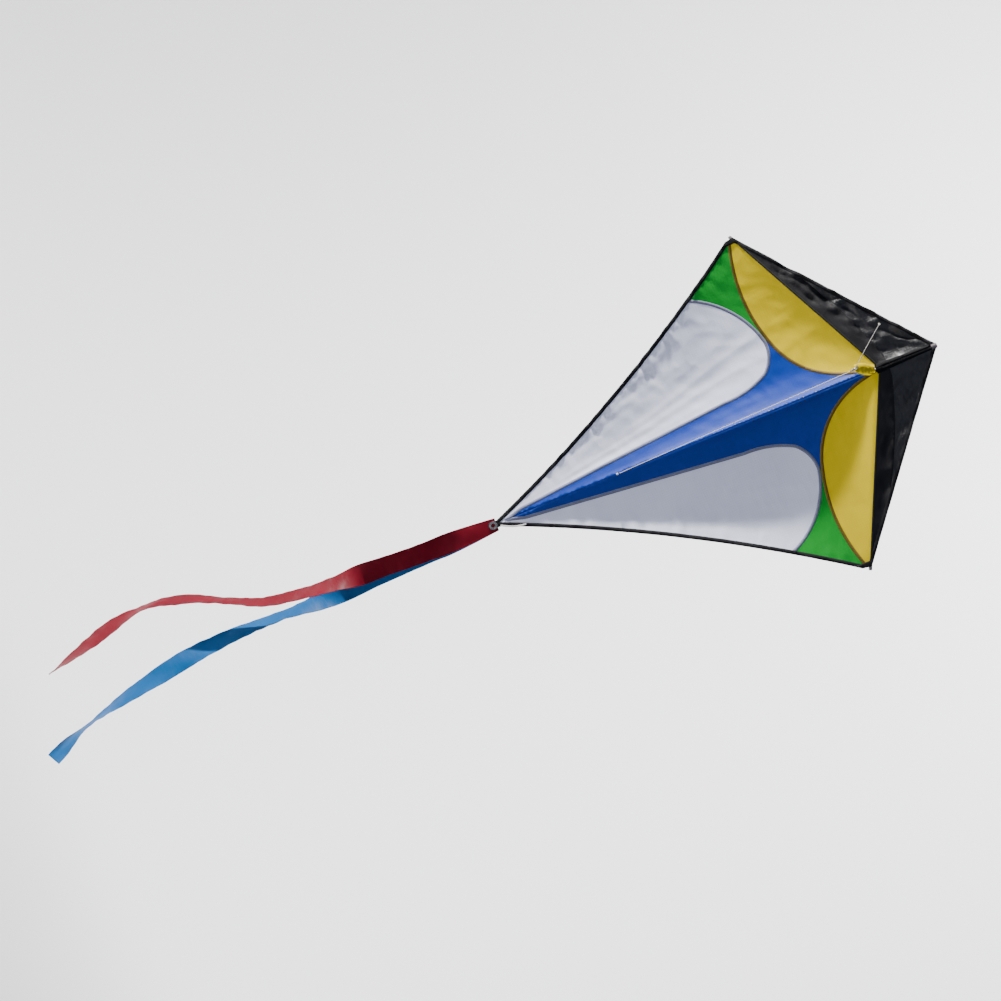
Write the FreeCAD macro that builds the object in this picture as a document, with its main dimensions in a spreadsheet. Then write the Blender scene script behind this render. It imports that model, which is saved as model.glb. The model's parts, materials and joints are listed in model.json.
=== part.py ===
import FreeCAD, Part
import math
import os
import re

import Sketcher

# A single-line diamond kite with folding wings, a two-point bridle and two ribbon tails.
#
# Frame: the origin is the middle of the tow ring, which holds the kite. +Z runs up the spine to
# the nose, the face that the flier sees looks to -Y, and +X is on the flier's right.
# Wing frame: X outwards from the spine, Y to the back, Z up from the bottom end of the spine.

SIZES = {
    # outline of the sail
    "spine_length": 1000, "half_span": 381, "tip_height": 692, "hub_height": 871,
    "trailing_sag": 22, "tip_edge_angle": 35.2, "dihedral": 4,
    "edge_gap": 10, "trailing_foot": 24.5,
    # where the tow ring is, from the spine's bottom end
    "bridle_depth": 150, "ring_height": 800,
    # seams between the coloured panels
    "seam_inner": 824, "seam_joint_out": 148, "seam_joint_up": 684,
    "seam_outer_radius": 360, "seam_inner_radius": 188,
    "white_foot": 70, "white_shoulder_out": 58, "white_shoulder_up": 546,
    "white_bend_out": 83, "white_bend_up": 648,
    "white_top_out": 146, "white_top_up": 676, "white_side_out": 285.5, "white_side_up": 558.5,
    "white_shoulder_radius": 208, "white_bend_radius": 75, "white_side_radius": 189,
    # cloth and tape
    "sail_front": 5, "sail_thickness": 0.8, "binding_width": 8, "binding_thickness": 1,
    "binding_setback": 10, "patch_side": 36, "patch_thickness": 0.6,
    # rods
    "rod_radius": 2.5, "rod_inset": 3, "spar_radius": 2, "spar_start": 14, "spar_inset": 4,
    "ferrule_radius": 3.2, "ferrule_length": 60,
    # hub: two spar sockets that turn on the spine between two collars
    "running_clearance": 0.08, "eye_radius": 6.5, "eye_length": 12, "eye_offset": 8,
    "socket_radius": 4.5, "socket_start": 4, "socket_end": 46,
    "collar_radius": 5.5, "collar_length": 5, "collar_offset": 17,
    # caps
    "nose_cap_radius": 7, "nose_cap_length": 16, "tail_cap_radius": 4.5, "tail_cap_length": 26,
    "tail_cap_foot": 14,
    "cap_end_wall": 3, "tip_cap_radius": 4.5, "tip_cap_length": 20,
    # sleeves
    "sleeve_clearance": 0.3, "nose_sleeve_foot": 9, "nose_sleeve_top": 5.5,
    "tail_sleeve_foot": 4.5, "tail_sleeve_top": 8, "hub_half_height": 25,
    "hub_cover_inner": 7, "hub_cover_outer": 8, "hub_cover_sweep": 84,
    "spar_sleeve_radius": 5, "spar_sleeve_bore": 2.3, "spar_sleeve_start": 60,
    # tail fastening
    "tab_width": 15, "tab_thickness": 1.2, "tab_top": 38, "tab_bottom": 4,
    "eyelet_height": 4, "eyelet_bore": 4, "eyelet_barrel": 5, "eyelet_flange": 9,
    "flange_thickness": 0.8, "eyelet_length": 5.4, "elastic_diameter": 3.2,
    # bridle
    "anchor_reach": 11, "anchor_radius": 2, "upper_anchor": 859, "lower_anchor": 282,
    "leg_gap": 3.4, "ring_radius": 8.5, "ring_wire": 1.2,
    "strap_width": 20, "strap_thickness": 1.2, "cord_diameter": 1.2, "end_knot_radius": 2.4,
    # tails
    "ribbon_width": 44, "ribbon_neck": 20, "ribbon_thickness": 0.8, "ribbon_tab_length": 14,
    "red_layer": 6, "blue_layer": 7.2,
}

# Routes that sag or wave, chosen by hand, in the row frame: (y, z) or (x, y, z) in mm.
LOWER_LEG = [(137.2, -513), (71, -260), (6.5, -7.2)]
LEADER = [(0, -9.7, 0.6), (-18, -128, 21), (-35, -248, 44)]
TAIL_ELASTIC = [(7, 142.1, -782), (15, 142.6, -768), (22, 143.1, -750), (24, 143.3, -732)]
# How far each ribbon stands to the flier's right, and how far below the bottom of the sail.
RED_WAVES = [(0, 10), (-1, 72), (-2, 162), (-6, 252), (-9, 332), (-16, 412), (-30, 492),
             (-62, 562), (-98, 637), (-117, 712), (-113, 782), (-90, 862), (-60, 962)]
BLUE_WAVES = [(0, 10), (1, 82), (3, 182), (6, 292), (8, 392), (5, 482), (6, 572), (14, 662),
              (28, 747), (44, 832), (60, 902), (80, 962), (106, 1016)]

doc = FreeCAD.newDocument("DiamondKite")
sheet = doc.addObject("Spreadsheet::Sheet", "Sizes")
for row, (alias, number) in enumerate(SIZES.items(), start=1):
    sheet.set(f"A{row}", alias)
    sheet.set(f"B{row}", str(number))
    sheet.setAlias(f"B{row}", alias)
doc.recompute()

parts = {}


# ---------------------------------------------------------------- helpers

def linked(text):
    """An expression with every alias in it read from the sheet."""
    return re.sub(r"[a-z]+(?:_[a-z]+)+|dihedral", lambda found: "Sizes." + found[0], text)


def value(text):
    """The number that an expression has now, in mm or degrees."""
    result = sheet.evalExpression(linked(text))
    return float(getattr(result, "Value", result))


def bind(thing, sizes):
    """Bind properties to expressions: {property path: expression}."""
    for path, text in sizes.items():
        thing.setExpression(path, linked(text))
    return thing


def place(thing, x="0", y="0", z="0", about=None, angle=None):
    """Bind a placement: a point, and a turn by an angle about an axis."""
    if about:
        turn = FreeCAD.Rotation(FreeCAD.Vector(*about), 10)
        thing.Placement = FreeCAD.Placement(FreeCAD.Vector(), turn)
        bind(thing, {"Placement.Rotation.Angle": angle})
    return bind(thing, {"Placement.Base.x": x, "Placement.Base.y": y, "Placement.Base.z": z})


def keep(label, thing):
    """Name an object as a sub-part that is written out."""
    thing.Label = label
    parts[label] = thing
    return thing


def primitive(kind, name, sizes):
    return bind(doc.addObject(f"Part::{kind}", name), sizes)


def cut(label, base, tool):
    result = doc.addObject("Part::Cut", label + "_cut")
    result.Base = base
    result.Tool = tool
    return keep(label, result)


def upright(kind, name, height, sizes):
    """A solid of revolution that stands on the spine's axis, at a height above its bottom end."""
    return place(primitive(kind, name, sizes), "0", "bridle_depth", f"({height}) - ring_height")


def tube(label, height, length, outer, inner):
    """A tube round the spine."""
    body = upright("Cylinder", label + "_outer", height, {"Radius": outer, "Height": length})
    bore = upright("Cylinder", label + "_bore", height, {"Radius": inner, "Height": length})
    return cut(label, body, bore)


def cap(label, height, length, radius, bore_height):
    """A closed cap on one end of the spine."""
    body = upright("Cylinder", label + "_body", height, {"Radius": radius, "Height": length})
    bore_size = {"Radius": "rod_radius", "Height": f"{length} - cap_end_wall"}
    bore = upright("Cylinder", label + "_bore", bore_height, bore_size)
    return cut(label, body, bore)


def cone_sleeve(label, height, length, foot, top):
    """A sewn sleeve round the spine whose width changes along it."""
    body = upright("Cone", label + "_body", height,
                   {"Radius1": foot, "Radius2": top, "Height": length})
    bore = upright("Cylinder", label + "_bore", height,
                   {"Radius": "ferrule_radius + sleeve_clearance", "Height": length})
    return cut(label, body, bore)


def wing_body(label, side):
    """A body in the wing frame, leaned back by the dihedral. side is 1 right and -1 left."""
    body = doc.addObject("PartDesign::Body", label + "_body")
    place(body, "0", "bridle_depth", "-ring_height", (0, 0, 1), f"{side} * dihedral * 1 deg")
    return keep(label, body)


def along_spar(body, side, kind, name, start, length, radius):
    """A cylinder on the spar's axis, which runs from the side's own socket eye to the wing tip."""
    eye = f"(hub_height - {side} * eye_offset)"
    lean = f"atan(({eye} - tip_height) / half_span)"
    rod = body.newObject(f"PartDesign::{kind}", f"{body.Name}_{name}")
    bind(rod, {"Radius": radius, "Height": length})
    x = f"{side} * ({start}) * cos({lean})"
    z = f"{eye} - ({start}) * sin({lean})"
    return place(rod, x, "0", z, (0, 1, 0), f"{side} * (90 deg + {lean})")


def spar_reach(side):
    """How far the wing tip is from the side's socket eye."""
    return f"sqrt(half_span^2 + (hub_height - {side} * eye_offset - tip_height)^2)"


def through(a, b, radius, bulge):
    """The point halfway along an arc from a to b. bulge is 1 left of that way and -1 right."""
    middle = (a + b) * 0.5
    half = (b - a).Length / 2
    rise = radius - math.sqrt(radius ** 2 - half ** 2)
    across = FreeCAD.Vector(a.y - b.y, b.x - a.x, 0).normalize()
    return middle + across * (rise * bulge)


def outline_plate(label, corners, front, thickness):
    """A flat right-wing piece: {corner: (out, up, radius to the next corner or None, bulge)}."""
    body = wing_body(label, 1)
    plane = [f for f in body.Origin.OriginFeatures if f.Role == "XZ_Plane"][0]
    sketch = body.newObject("Sketcher::SketchObject", label + "_outline")
    sketch.AttachmentSupport = (plane, [""])
    sketch.MapMode = "FlatFace"
    bind(sketch, {"AttachmentOffset.Base.z": front})
    spots = [FreeCAD.Vector(value(c[0]), value(c[1]), 0) for c in corners]
    for number, (out, up, radius, bulge) in enumerate(corners):
        here, there = spots[number], spots[(number + 1) % len(spots)]
        if radius:
            arc = Part.Arc(here, through(here, there, value(radius), bulge), there)
            sketch.addGeometry(arc, False)
        else:
            sketch.addGeometry(Part.LineSegment(here, there), False)

    def end_near(edge, spot):
        first = sketch.getPoint(edge, 1)
        return 1 if first.distanceToPoint(spot) < 1e-6 else 2

    for number, (out, up, radius, bulge) in enumerate(corners):
        before = (number - 1) % len(corners)
        here = end_near(number, spots[number])
        joined = end_near(before, spots[number])
        sketch.addConstraint(Sketcher.Constraint("Coincident", before, joined, number, here))
        for kind, size in (("DistanceX", out), ("DistanceY", up)):
            index = sketch.addConstraint(
                Sketcher.Constraint(kind, -1, 1, number, here, value(size)))
            name = f"corner_{number}_{kind[-1]}"
            sketch.renameConstraint(index, name)
            bind(sketch, {f"Constraints.{name}": size})
        if radius:
            index = sketch.addConstraint(Sketcher.Constraint("Radius", number, value(radius)))
            sketch.renameConstraint(index, f"bend_{number}")
            bind(sketch, {f"Constraints.bend_{number}": radius})
    doc.recompute()
    pad = body.newObject("PartDesign::Pad", label + "_pad")
    pad.Profile = sketch
    bind(pad, {"Length": thickness})
    return body


def rounded(route, radii):
    """Straight runs joined by tangent arcs: each arc as large as its two runs allow."""
    edges = []
    start = route[0]
    for before, point, after in zip(route, route[1:], route[2:]):
        back = (before - point)
        ahead = (after - point)
        turn = math.pi - back.getAngle(ahead)
        reach = 0.45 * min(back.Length, ahead.Length)
        radii.append(reach / math.tan(turn / 2))
        back.normalize()
        ahead.normalize()
        first, last = point + back * reach, point + ahead * reach
        inward = (back + ahead).normalize()
        depth = radii[-1] / math.cos(turn / 2) - radii[-1]
        edges.append(Part.LineSegment(start, first).toShape())
        edges.append(Part.Arc(first, point + inward * depth, last).toShape())
        start = last
    edges.append(Part.LineSegment(start, route[-1]).toShape())
    return Part.Wire(edges)


def cord(label, route, diameter="cord_diameter"):
    """A round cord along a route."""
    radii = []
    path = rounded([FreeCAD.Vector(*point) for point in route], radii)
    radius = value(diameter) / 2
    way = path.Edges[0].tangentAt(path.Edges[0].FirstParameter)
    ring = Part.Wire(Part.makeCircle(radius, path.Edges[0].Vertexes[0].Point, way))
    thing = doc.addObject("Part::Feature", label)
    thing.Shape = path.makePipeShell([ring], True, False)
    expected = math.pi * radius ** 2 * path.Length
    print(label, "length", round(path.Length, 1), "radii", [round(r) for r in radii],
          "volume share", round(thing.Shape.Volume / expected, 4))
    return keep(label, thing)


def ribbon(label, waves, layer):
    """A flat streamer: as narrow as its tab at the top, then the full width in waves."""
    path = rounded([FreeCAD.Vector(x, 0, -down) for x, down in waves], [])
    narrow, wide = value("ribbon_neck") / 2, value("ribbon_width") / 2
    flare = 3 * narrow
    spots = path.discretize(120)
    spacing = path.Length / (len(spots) - 1)
    left, right = [], []
    for number, spot in enumerate(spots):
        before = spots[max(number - 1, 0)]
        after = spots[min(number + 1, len(spots) - 1)]
        along = FreeCAD.Vector(0, 0, -1) if number == 0 else (after - before).normalize()
        across = FreeCAD.Vector(-along.z, 0, along.x)
        blend = min(spacing * number / flare, 1)
        reach = narrow + (wide - narrow) * blend * blend * (3 - 2 * blend)
        left.append(spot + across * reach)
        right.append(spot - across * reach)
    edges = []
    for side in (left, right):
        curve = Part.BSplineCurve()
        curve.interpolate(side)
        edges.append(curve.toShape())
    edges.append(Part.LineSegment(left[0], right[0]).toShape())
    edges.append(Part.LineSegment(left[-1], right[-1]).toShape())
    face = Part.Face(Part.Wire(Part.__sortEdges__(edges)))
    thing = doc.addObject("Part::Feature", label)
    thing.Shape = face.extrude(FreeCAD.Vector(0, value("ribbon_thickness"), 0))
    place(thing, "0", f"bridle_depth + {layer}", "-ring_height")
    print(label, "length", round(path.Length), "volume", round(thing.Shape.Volume))
    return keep(label, thing)


def ribbon_tab(label, layer):
    """The doubled, round-ended top of a ribbon, which turns on the eyelet's barrel."""
    middle = "eyelet_height - ring_height"
    front = f"bridle_depth + {layer}"
    crosswise = {"about": (1, 0, 0), "angle": "-90 deg"}
    sizes = {"Radius": "ribbon_neck / 2", "Height": "ribbon_thickness"}
    disc = place(primitive("Cylinder", label + "_end", sizes), "0", front, middle, **crosswise)
    plate = primitive("Box", label + "_plate",
                      {"Length": "ribbon_neck", "Width": "ribbon_thickness",
                       "Height": "ribbon_tab_length"})
    place(plate, "-ribbon_neck / 2", front, f"{middle} - ribbon_tab_length")
    blank = doc.addObject("Part::MultiFuse", label + "_blank")
    blank.Shapes = [disc, plate]
    sizes = {"Radius": "eyelet_barrel + running_clearance", "Height": "ribbon_thickness"}
    hole = place(primitive("Cylinder", label + "_hole", sizes), "0", front, middle, **crosswise)
    return cut(label, blank, hole)


# ---------------------------------------------------------------- spine, caps and sleeves

def build_spine():
    """Two rods that meet in the middle of a metal ferrule."""
    foot = "(tail_cap_foot + rod_inset)"
    for label, start, length in (
            ("spine_lower", foot, f"spine_length / 2 - {foot}"),
            ("spine_upper", "spine_length / 2", "spine_length / 2 - rod_inset")):
        rod = {"Radius": "rod_radius", "Height": length}
        keep(label, upright("Cylinder", label + "_rod", start, rod))
    tube("spine_ferrule", "(spine_length - ferrule_length) / 2", "ferrule_length",
         "ferrule_radius", "rod_radius")


def build_spine_caps():
    cap("nose_cap", "spine_length - nose_cap_length", "nose_cap_length", "nose_cap_radius",
        "spine_length - nose_cap_length")
    cap("tail_cap", "tail_cap_foot", "tail_cap_length", "tail_cap_radius",
        "tail_cap_foot + cap_end_wall")


def build_sleeves():
    """The black sleeve above the hub, the long one below it, and the strip in front of the hub."""
    above = "hub_height + hub_half_height"
    below = "hub_height - hub_half_height"
    cone_sleeve("spine_sleeve_nose", above, f"spine_length - nose_cap_length - ({above})",
                "nose_sleeve_foot", "nose_sleeve_top")
    cap_top = "(tail_cap_foot + tail_cap_length)"
    cone_sleeve("spine_sleeve_tail", cap_top, f"{below} - {cap_top}",
                "tail_sleeve_foot", "tail_sleeve_top")
    shells = []
    for name, radius in (("outer", "hub_cover_outer"), ("bore", "hub_cover_inner")):
        shell = primitive("Cylinder", "hub_cover_" + name,
                          {"Radius": radius, "Height": "2 * hub_half_height",
                           "Angle": "hub_cover_sweep * 1 deg"})
        shells.append(place(shell, "0", "bridle_depth", f"{below} - ring_height", (0, 0, 1),
                            "270 deg - hub_cover_sweep * 0.5 deg"))
    cut("hub_cover", *shells)


def build_collars():
    """Rings that hold the two socket eyes in place on the spine."""
    tube("hub_collar_upper", "hub_height + collar_offset", "collar_length",
         "collar_radius", "rod_radius")
    tube("hub_collar_lower", "hub_height - collar_offset - collar_length", "collar_length",
         "collar_radius", "rod_radius")


# ---------------------------------------------------------------- tail fastening and tails

def build_tail_fastening():
    """A webbing tab behind the bottom cap, with a hollow eyelet that holds both ribbons.

    An elastic runs from the cap to the right wing's tape and draws the sail's edge in."""
    tab = primitive("Box", "tab_plate",
                    {"Length": "tab_width", "Width": "tab_thickness",
                     "Height": "tab_top + tab_bottom"})
    place(tab, "-tab_width / 2", "bridle_depth + tail_cap_radius", "-tab_bottom - ring_height")
    crosswise = {"about": (1, 0, 0), "angle": "-90 deg"}
    spot = ("0", "bridle_depth + tail_cap_radius - flange_thickness",
            "eyelet_height - ring_height")

    def disc(name, radius, length, forward="0"):
        solid = primitive("Cylinder", name, {"Radius": radius, "Height": length})
        return place(solid, spot[0], f"{spot[1]} + {forward}", spot[2], **crosswise)

    cut("tail_tab", tab, disc("tab_hole", "eyelet_barrel", "10"))
    barrel = disc("eyelet_tube", "eyelet_barrel", "eyelet_length")
    front = disc("eyelet_front", "eyelet_flange", "flange_thickness")
    back = disc("eyelet_back", "eyelet_flange", "flange_thickness",
                "eyelet_length - flange_thickness")
    rivet = doc.addObject("Part::MultiFuse", "eyelet_blank")
    rivet.Shapes = [barrel, front, back]
    cut("tail_eyelet", rivet, disc("eyelet_hole", "eyelet_bore", "eyelet_length"))
    cord("tail_elastic", TAIL_ELASTIC, "elastic_diameter")


def build_tails():
    for colour, waves in (("red", RED_WAVES), ("blue", BLUE_WAVES)):
        ribbon_tab(f"tail_{colour}_tab", f"{colour}_layer")
        ribbon(f"tail_{colour}", waves, f"{colour}_layer")


# ---------------------------------------------------------------- wings

def build_frame_side(name, side):
    """Socket, spar, sleeve and tip cap of one wing. The two eyes stack on the spine."""
    eye_middle = f"hub_height - {side} * eye_offset"
    reach = spar_reach(side)
    socket = wing_body(f"spar_socket_{name}", side)
    eye = socket.newObject("PartDesign::AdditiveCylinder", f"socket_eye_{name}")
    bind(eye, {"Radius": "eye_radius", "Height": "eye_length"})
    place(eye, "0", "0", f"{eye_middle} - eye_length / 2")
    along_spar(socket, side, "AdditiveCylinder", "tube", "socket_start",
               "socket_end - socket_start", "socket_radius")
    along_spar(socket, side, "SubtractiveCylinder", "spar_hole", "spar_start",
               "socket_end", "spar_radius")
    bore = socket.newObject("PartDesign::SubtractiveCylinder", f"socket_bore_{name}")
    bind(bore, {"Radius": "rod_radius + running_clearance", "Height": "3 * eye_length"})
    place(bore, "0", "0", f"{eye_middle} - 1.5 * eye_length")

    spar = wing_body(f"spar_{name}", side)
    along_spar(spar, side, "AdditiveCylinder", "rod", "spar_start",
               f"{reach} - spar_start - spar_inset", "spar_radius")

    sleeve = wing_body(f"spar_sleeve_{name}", side)
    sleeve_length = f"{reach} - tip_cap_length - spar_sleeve_start"
    along_spar(sleeve, side, "AdditiveCylinder", "outer", "spar_sleeve_start", sleeve_length,
               "spar_sleeve_radius")
    along_spar(sleeve, side, "SubtractiveCylinder", "bore", "spar_sleeve_start", sleeve_length,
               "spar_sleeve_bore")

    tip = wing_body(f"tip_cap_{name}", side)
    along_spar(tip, side, "AdditiveCylinder", "outer", f"{reach} - tip_cap_length",
               "tip_cap_length", "tip_cap_radius")
    along_spar(tip, side, "SubtractiveCylinder", "bore", f"{reach} - tip_cap_length",
               "tip_cap_length - spar_inset", "spar_radius")


TIP = ("half_span", "tip_height")
NOSE = ("edge_gap", "spine_length - edge_gap * (spine_length - tip_height) / half_span")
HUB = ("edge_gap", "hub_height - edge_gap * (hub_height - tip_height) / half_span")
SEAM = ("edge_gap", "seam_inner")
JOINT = ("seam_joint_out", "seam_joint_up")
WHITE_TOP = ("white_top_out", "white_top_up")
WHITE_SIDE = ("white_side_out", "white_side_up")
WHITE_SHOULDER = ("white_shoulder_out", "white_shoulder_up")
WHITE_BEND = ("white_bend_out", "white_bend_up")
WHITE_FOOT = ("edge_gap", "white_foot")
FOOT = ("edge_gap", "trailing_foot")
TRAILING_RADIUS = ("(((half_span^2 + tip_height^2) / 4 + trailing_sag^2)"
                   " / (2 * trailing_sag))")
LEADING_LEAN = "atan((spine_length - tip_height) / half_span)"
TRAILING_LEAN = "(tip_edge_angle * 1 deg)"


def straight(point):
    return (*point, None, 0)


def bent(point, radius, bulge):
    return (*point, radius, bulge)


def build_panels():
    """The five coloured panels of the right wing, which share their seams."""
    cloth = ("sail_front", "sail_thickness")
    outlines = {
        "panel_blue": [straight(WHITE_FOOT), bent(WHITE_SHOULDER, "white_shoulder_radius", 1),
                       bent(WHITE_BEND, "white_bend_radius", 1), straight(WHITE_TOP),
                       bent(JOINT, "seam_inner_radius", 1), straight(SEAM)],
        "panel_white": [bent(FOOT, TRAILING_RADIUS, 1), bent(WHITE_SIDE, "white_side_radius", -1),
                        bent(WHITE_TOP, "white_bend_radius", -1),
                        bent(WHITE_BEND, "white_shoulder_radius", -1), straight(WHITE_SHOULDER),
                        straight(WHITE_FOOT)],
        "panel_green": [bent(WHITE_SIDE, TRAILING_RADIUS, 1),
                        bent(TIP, "seam_outer_radius", 1),
                        straight(JOINT), bent(WHITE_TOP, "white_side_radius", 1)],
        "panel_yellow": [straight(SEAM), straight(HUB), bent(TIP, "seam_outer_radius", 1),
                         bent(JOINT, "seam_inner_radius", 1)],
        "panel_nose": [straight(HUB), straight(NOSE), straight(TIP)],
    }
    for label, corners in outlines.items():
        outline_plate(label + "_right", corners, *cloth)


def build_bindings():
    """Folded tape along the two free edges, and the doubled patch at the tip."""
    tape = ("sail_front + sail_thickness", "binding_thickness")
    drop = f"binding_width / cos({LEADING_LEAN})"
    inner_tip = (f"half_span - binding_width * sin({LEADING_LEAN})",
                 f"tip_height - binding_width * cos({LEADING_LEAN})")
    outline_plate("binding_leading_right",
                  [straight(NOSE), straight(TIP), straight(inner_tip),
                   straight((NOSE[0], f"{NOSE[1]} - {drop}"))], *tape)
    outer = (f"half_span - binding_setback * sin({TRAILING_LEAN})",
             f"tip_height - binding_setback * cos({TRAILING_LEAN})")
    inner = (f"{outer[0]} - binding_width * cos({TRAILING_LEAN})",
             f"{outer[1]} + binding_width * sin({TRAILING_LEAN})")
    foot_lean = "(2 * atan(half_span / tip_height) - tip_edge_angle * 1 deg)"
    inner_foot = ("edge_gap", f"trailing_foot + binding_width / sin({foot_lean})")
    outline_plate("binding_trailing_right",
                  [bent(FOOT, TRAILING_RADIUS, 1), straight(outer),
                   bent(inner, f"({TRAILING_RADIUS} + binding_width)", -1),
                   straight(inner_foot)], *tape)
    up_edge = (f"half_span - patch_side * cos({LEADING_LEAN})",
               f"tip_height + patch_side * sin({LEADING_LEAN})")
    down_edge = (f"half_span - patch_side * sin({TRAILING_LEAN})",
                 f"tip_height - patch_side * cos({TRAILING_LEAN})")
    outline_plate("tip_patch_right", [straight(TIP), straight(down_edge), straight(up_edge)],
                  "sail_front + sail_thickness + binding_thickness", "patch_thickness")


def mirror_cloth():
    """The left wing's cloth is the right wing's, mirrored in the spine."""
    for label in [name for name in parts if name.endswith("_right")]:
        twin = label.replace("_right", "_left")
        if twin in parts:
            continue
        mirrored = doc.addObject("Part::Mirroring", twin)
        mirrored.Source = parts[label]
        mirrored.Normal = FreeCAD.Vector(1, 0, 0)
        keep(twin, mirrored)


# ---------------------------------------------------------------- bridle and tow ring

def build_anchors():
    """Barrel knots, upright on the bridle's axis, on stubs that come through the sail."""
    for label, height, skin in (
            ("bridle_anchor_upper", "upper_anchor", "hub_cover_outer"),
            ("bridle_anchor_lower", "lower_anchor", "tail_sleeve_foot")):
        stub = primitive("Cylinder", label + "_stub",
                         {"Radius": "anchor_radius / 2", "Height": f"anchor_reach - {skin}"})
        place(stub, "0", f"bridle_depth - {skin}", f"{height} - ring_height",
              (1, 0, 0), "90 deg")
        barrel = primitive("Cylinder", label + "_barrel",
                           {"Radius": "anchor_radius", "Height": "2 * anchor_radius"})
        place(barrel, "0", "bridle_depth - anchor_reach",
              f"{height} - anchor_radius - ring_height")
        knot = doc.addObject("Part::MultiFuse", label + "_knot")
        knot.Shapes = [stub, barrel]
        keep(label, knot)


def build_bridle():
    """A cloth strap and a cord leg that meet at a small tow ring, tied there by a knot."""
    rise = "(upper_anchor - ring_height)"
    depth = "(bridle_depth - anchor_reach)"
    lean = f"atan({rise} / {depth})"
    length = f"sqrt({rise}^2 + {depth}^2)"
    ring_edge = "(ring_radius + ring_wire)"
    strap = primitive("Box", "strap_cloth",
                      {"Length": "strap_width", "Height": "strap_thickness",
                       "Width": f"{length} - {ring_edge} - leg_gap"})
    place(strap, "-strap_width / 2",
          f"{ring_edge} * cos({lean}) + strap_thickness / 2 * sin({lean})",
          f"{ring_edge} * sin({lean}) - strap_thickness / 2 * cos({lean})",
          (1, 0, 0), lean)
    keep("tow_strap", strap)
    cord("bridle_lower_leg", [(0, y, z) for y, z in LOWER_LEG])
    ring = primitive("Torus", "ring_wire", {"Radius1": "ring_radius", "Radius2": "ring_wire"})
    keep("tow_ring", place(ring, about=(0, 1, 0), angle="90 deg"))
    cord("leader_line", LEADER)
    knot = primitive("Sphere", "leader_end", {"Radius": "end_knot_radius"})
    knot.Placement.Base = FreeCAD.Vector(*LEADER[-1])
    keep("leader_knot", knot)


# ---------------------------------------------------------------- build, check and write

build_spine()
build_spine_caps()
build_sleeves()
build_collars()
build_tail_fastening()
build_tails()
build_panels()
build_bindings()
mirror_cloth()
for wing_name, wing_side in (("right", 1), ("left", -1)):
    build_frame_side(wing_name, wing_side)
build_anchors()
build_bridle()
doc.recompute()

broken = [thing.Name for thing in doc.Objects
          if "Invalid" in thing.State or "Error" in thing.State]
if broken:
    raise SystemExit(f"these objects failed: {broken}")
for label, thing in parts.items():
    if thing.Shape.isNull() or not thing.Shape.isValid() or not thing.Shape.Solids:
        raise SystemExit(f"{label} has no valid solid")
os.makedirs("parts", exist_ok=True)
for label, thing in parts.items():
    thing.Shape.exportStep(f"parts/{label}.step")
print(len(parts), "sub-parts written")
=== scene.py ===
import json
import math

import bpy
import numpy as np
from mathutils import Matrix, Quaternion, Vector, noise
from mathutils.geometry import delaunay_2d_cdt


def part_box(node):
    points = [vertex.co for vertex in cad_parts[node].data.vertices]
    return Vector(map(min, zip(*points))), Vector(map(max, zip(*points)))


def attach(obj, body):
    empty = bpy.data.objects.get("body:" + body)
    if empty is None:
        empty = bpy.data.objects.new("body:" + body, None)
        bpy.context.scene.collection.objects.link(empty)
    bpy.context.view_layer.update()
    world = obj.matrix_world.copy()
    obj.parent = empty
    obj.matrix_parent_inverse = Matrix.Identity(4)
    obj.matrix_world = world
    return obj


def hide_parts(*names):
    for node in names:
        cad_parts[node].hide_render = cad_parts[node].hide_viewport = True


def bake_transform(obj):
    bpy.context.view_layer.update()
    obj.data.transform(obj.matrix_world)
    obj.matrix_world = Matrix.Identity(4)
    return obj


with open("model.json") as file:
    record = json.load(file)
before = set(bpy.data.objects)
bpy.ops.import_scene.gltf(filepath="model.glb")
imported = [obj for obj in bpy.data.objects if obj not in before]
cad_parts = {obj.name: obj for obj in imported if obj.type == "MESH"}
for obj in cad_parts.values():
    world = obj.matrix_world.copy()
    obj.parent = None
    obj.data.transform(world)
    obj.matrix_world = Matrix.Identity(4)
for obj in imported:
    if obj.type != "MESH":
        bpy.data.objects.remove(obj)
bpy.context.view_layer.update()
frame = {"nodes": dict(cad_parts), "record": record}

# A diamond kite that hangs nose up. +Z runs up the spine, -Y is the face that the flier sees and
# +X is on the flier's right. "Out" is the distance from the spine's axis, and "up" the height
# above the spine's bottom end. Everything is in metres.

SPINE_Y = (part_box("spine_lower")[0].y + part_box("spine_lower")[1].y) / 2
BOTTOM_Z = -0.800
DIHEDRAL = math.radians(4)
SPINE_LENGTH, HALF_SPAN, TIP_UP, HUB_UP = 1.0, 0.381, 0.692, 0.871
TRAILING_SAG = 0.022
EYE_OFFSET = 0.008
HUB_SLOPE = (HUB_UP - TIP_UP) / HALF_SPAN
NOSE_SLOPE = (SPINE_LENGTH - TIP_UP) / HALF_SPAN
SIDES = (("left", -1), ("right", 1))

# corners of the coloured panels: (out, up)
TIP, HUB = (HALF_SPAN, TIP_UP), (0, HUB_UP)
SEAM, JOINT = (0.010, 0.824), (0.148, 0.684)
WHITE_FOOT, WHITE_SHOULDER = (0.010, 0.070), (0.058, 0.546)
WHITE_BEND, WHITE_TOP, WHITE_SIDE = (0.083, 0.648), (0.146, 0.676), (0.2855, 0.5585)
SAIL_FOOT, SAIL_HEAD, SAIL_END, HEAD_HALF = 0.0135, 0.9865, HALF_SPAN - 0.0065, 0.0055

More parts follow.
